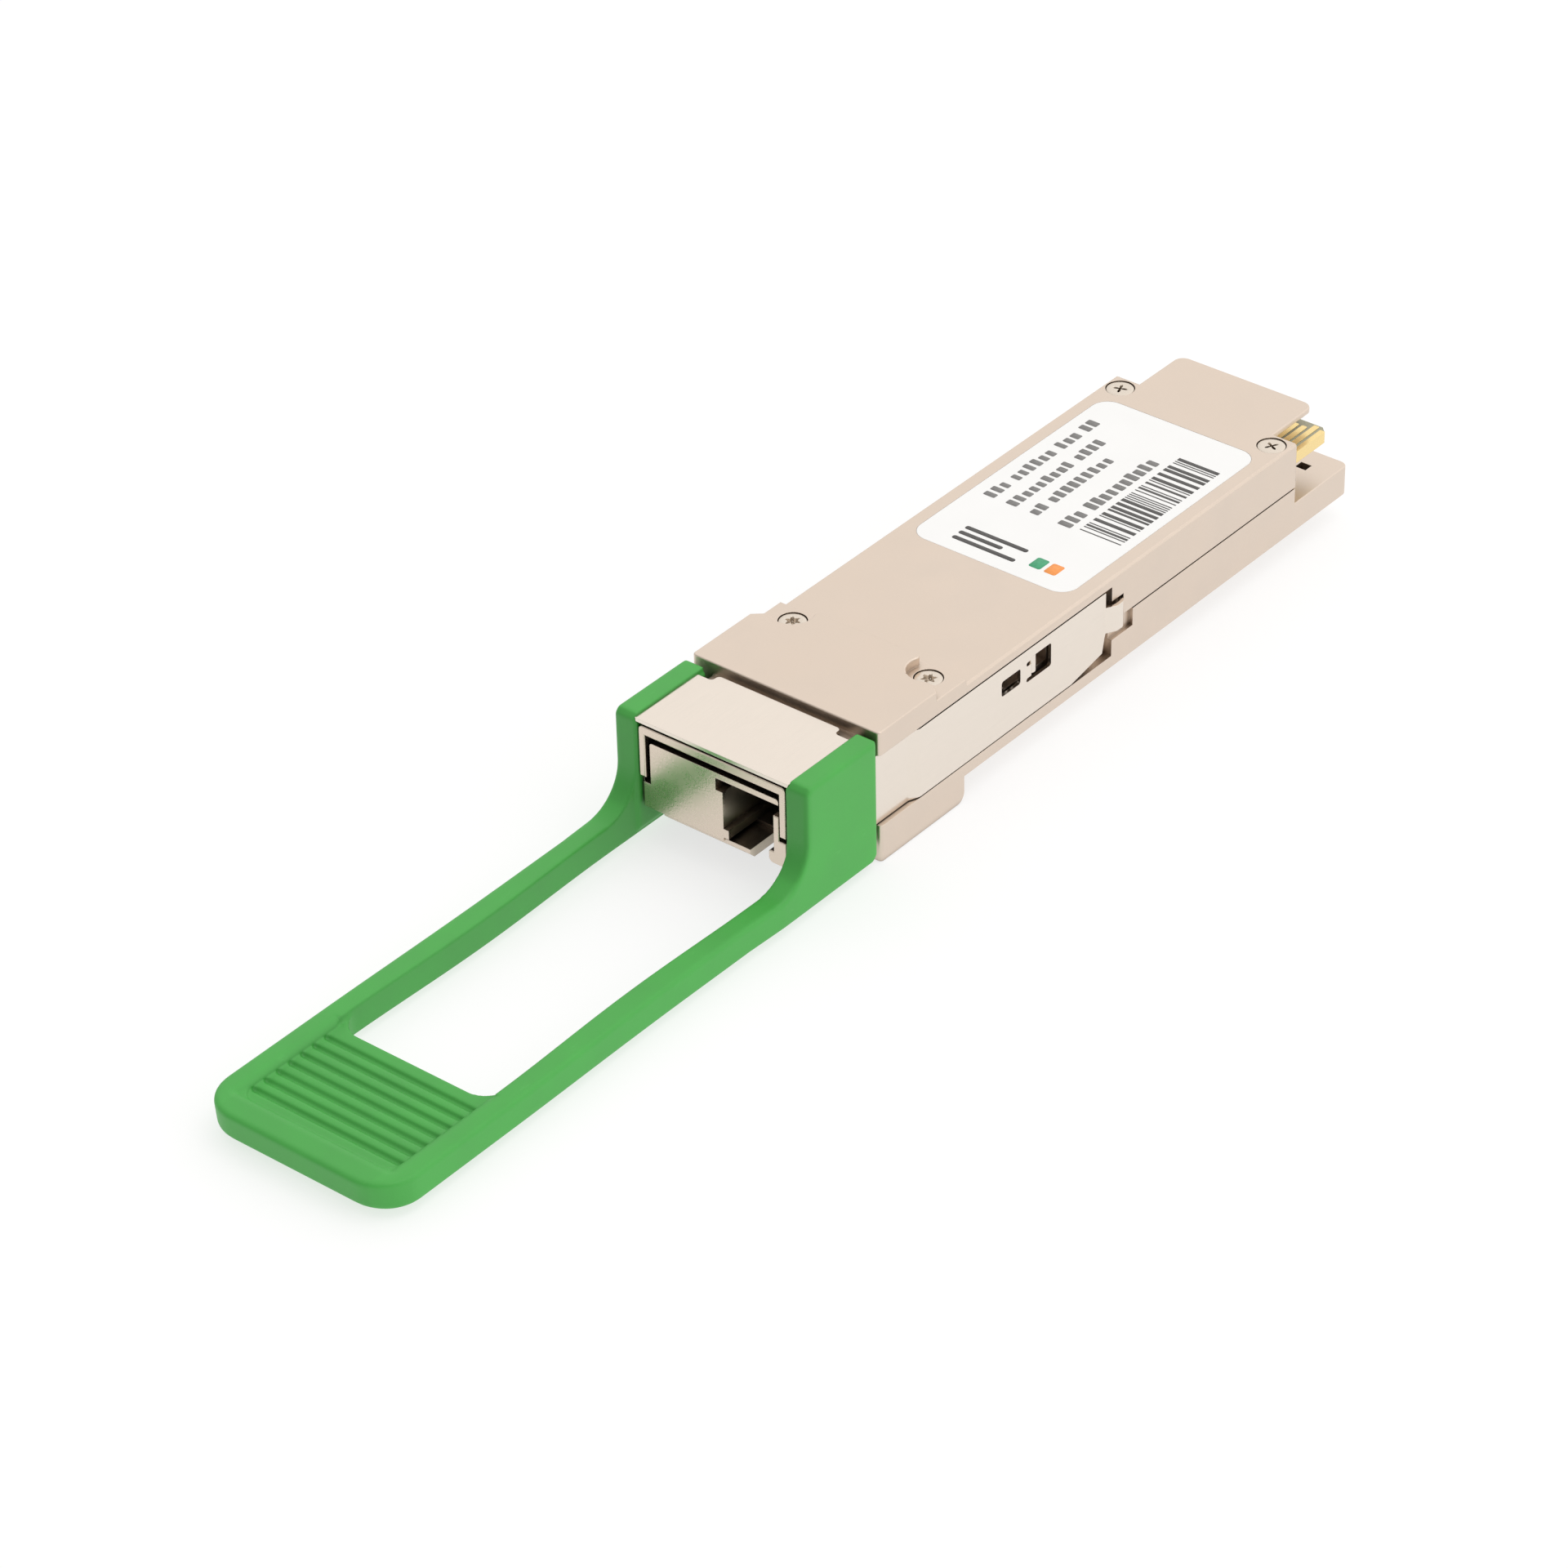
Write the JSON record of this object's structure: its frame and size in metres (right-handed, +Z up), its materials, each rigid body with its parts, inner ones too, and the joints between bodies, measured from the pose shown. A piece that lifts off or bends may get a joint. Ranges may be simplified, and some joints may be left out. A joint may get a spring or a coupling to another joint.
{
  "type": "optical transceiver module",
  "caption": "Pluggable optical transceiver: plated two-part metal shell, single fibre port, gold card edge, sprung side latch slider and a long green pull tab.",
  "frame": {"origin": "middle of the snout's front plane, at the height of the body's underside", "axes": "+X across the module towards the flank beside the port, +Y from the snout towards the card edge, +Z up towards the label"},
  "size_m": [0.0194, 0.1197, 0.012],
  "materials": {
    "nickel_casting": "satin nickel plate over a zinc die casting",
    "sheet_steel": "bright nickel plate on spring sheet",
    "green_grip": "soft matte overmoulding",
    "spring_wire": "bare spring wire",
    "screw_steel": "nickel plate",
    "label_stock": "semi-matte white film",
    "solder_mask": "green solder mask over laminate",
    "gold": "hard gold plate",
    "chip_black": "moulded epoxy",
    "ferrite": "sintered ferrite",
    "thermal_pad": "filled silicone",
    "capacitor_body": "fired ceramic",
    "stainless": "turned stainless steel",
    "zirconia": "ground zirconia",
    "kovar_gold": "gold plated sealing alloy",
    "polyimide": "polyimide film with copper"
  },
  "bodies": {
    "chassis": {"top_shell": "nickel_casting", "bottom_shell": "nickel_casting", "return_spring_left": "spring_wire", "return_spring_right": "spring_wire", "front_screws": "screw_steel", "rear_screws": "screw_steel", "label": "label_stock", "main_board": "solder_mask", "contacts_top": "gold", "contacts_bottom": "gold", "edge_plating": "gold", "dsp_chip": "chip_black", "dsp_pad": "thermal_pad", "microcontroller": "chip_black", "laser_driver": "chip_black", "regulator": "chip_black", "inductors": "ferrite", "crystal": "stainless", "chip_capacitors": "capacitor_body", "receptacle_barrel": "stainless", "alignment_sleeve": "zirconia", "fibre_stub": "zirconia", "receptacle_clamp": "stainless", "combiner_housing": "kovar_gold", "laser_package": "kovar_gold", "laser_pad": "thermal_pad", "receiver_can": "kovar_gold", "laser_flex": "polyimide", "receiver_flex": "polyimide"},
    "latch": {"latch_slider": "sheet_steel", "pull_tab": "green_grip"}
  },
  "joints": [
    {"name": "latch_slide", "type": "slide", "parent": "chassis", "child": "latch", "axis": [0, -1, 0], "range_m": [0, 0.0022], "stiffness_N_per_m": 1200, "springref_m": -0.0015, "deforming": ["return_spring_left", "return_spring_right"]}
  ]
}
